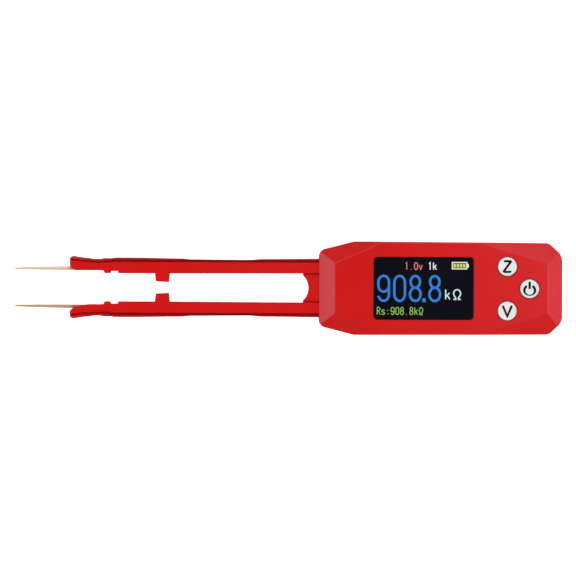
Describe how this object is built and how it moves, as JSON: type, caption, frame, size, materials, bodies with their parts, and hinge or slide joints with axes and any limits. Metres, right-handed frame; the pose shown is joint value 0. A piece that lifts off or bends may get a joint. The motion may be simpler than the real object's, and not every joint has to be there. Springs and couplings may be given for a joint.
{
  "type": "component tester",
  "caption": "Tweezer-style component tester: a faceted hand body with display and push buttons, and two sprung arms ending in gilded probe needles.",
  "frame": {"origin": "on the flat underside, under the middle of the bounding box", "axes": "+X runs from the needles to the rear of the body, +Y is across the arms, +Z is out of the display"},
  "size_m": [0.143, 0.0244, 0.0154],
  "materials": {
    "body_red": "satin moulded red",
    "arm_red": "satin moulded red",
    "window_black": "polished, printed black behind",
    "button_grey": "satin pale grey",
    "gilded": "gold plated, satin",
    "contact_copper": "bare copper alloy",
    "steel": "plain steel",
    "board_green": "solder mask",
    "chip_black": "moulded epoxy",
    "crystal_can": "nickel can",
    "battery_foil": "laminated foil",
    "lead_red": "wire insulation",
    "foam_black": "soft foam",
    "white_plastic": "nylon",
    "ribbon_amber": "polyimide film",
    "cell_glass": "dark liquid-crystal cell"
  },
  "bodies": {
    "housing": {"top_shell": "body_red", "bottom_shell": "body_red", "shell_screws": "steel", "display_window": "window_black", "display_gasket": "foam_black", "display_cell": "cell_glass", "display_backlight": "white_plastic", "display_ribbon": "ribbon_amber", "display_connector": "white_plastic", "switch_bases": "chip_black", "circuit_board": "board_green", "controller_chip": "chip_black", "small_chips": "chip_black", "crystal": "crystal_can", "board_passives": "white_plastic", "battery_cell": "battery_foil", "battery_pad": "foam_black", "battery_header": "white_plastic", "battery_plug": "white_plastic", "battery_leads": "lead_red", "usb_shell": "steel", "usb_tongue": "chip_black", "arm_yoke": "arm_red", "arm_screws": "steel", "right_arm_root": "arm_red", "right_root_cover": "arm_red", "right_root_conductor": "contact_copper", "right_bend_conductor": "contact_copper", "left_arm_root": "arm_red", "left_root_cover": "arm_red", "left_root_conductor": "contact_copper", "left_bend_conductor": "contact_copper"},
    "right_arm": {"right_arm_beam": "arm_red", "right_beam_cover": "arm_red", "right_beam_conductor": "contact_copper", "right_probe_contact": "contact_copper", "right_probe_nose": "arm_red", "right_probe_needle": "gilded"},
    "left_arm": {"left_arm_beam": "arm_red", "left_beam_cover": "arm_red", "left_beam_conductor": "contact_copper", "left_probe_contact": "contact_copper", "left_probe_nose": "arm_red", "left_probe_needle": "gilded"},
    "z_button": {"button_z": "button_grey", "plunger_z": "chip_black"},
    "v_button": {"button_v": "button_grey", "plunger_v": "chip_black"},
    "power_button": {"button_power": "button_grey", "plunger_power": "chip_black"}
  },
  "joints": [
    {"name": "right_arm_squeeze", "type": "hinge", "parent": "housing", "child": "right_arm", "pos_m": [-0.0179, 0.0055, 0.0075], "axis": [0, 0, 1], "range_deg": [0, 4.8], "stiffness_Nm_per_rad": 0.5, "deforming": ["right_bend_conductor"]},
    {"name": "left_arm_squeeze", "type": "hinge", "parent": "housing", "child": "left_arm", "pos_m": [-0.0179, -0.0055, 0.0075], "axis": [0, 0, -1], "range_deg": [0, 4.8], "stiffness_Nm_per_rad": 0.5, "deforming": ["left_bend_conductor"]},
    {"name": "z_button_press", "type": "slide", "parent": "housing", "child": "z_button", "axis": [0, 0, -1], "range_m": [0, 0.0003], "stiffness_N_per_m": 3000},
    {"name": "v_button_press", "type": "slide", "parent": "housing", "child": "v_button", "axis": [0, 0, -1], "range_m": [0, 0.0003], "stiffness_N_per_m": 3000},
    {"name": "power_button_press", "type": "slide", "parent": "housing", "child": "power_button", "axis": [0, 0, -1], "range_m": [0, 0.0003], "stiffness_N_per_m": 3000}
  ]
}
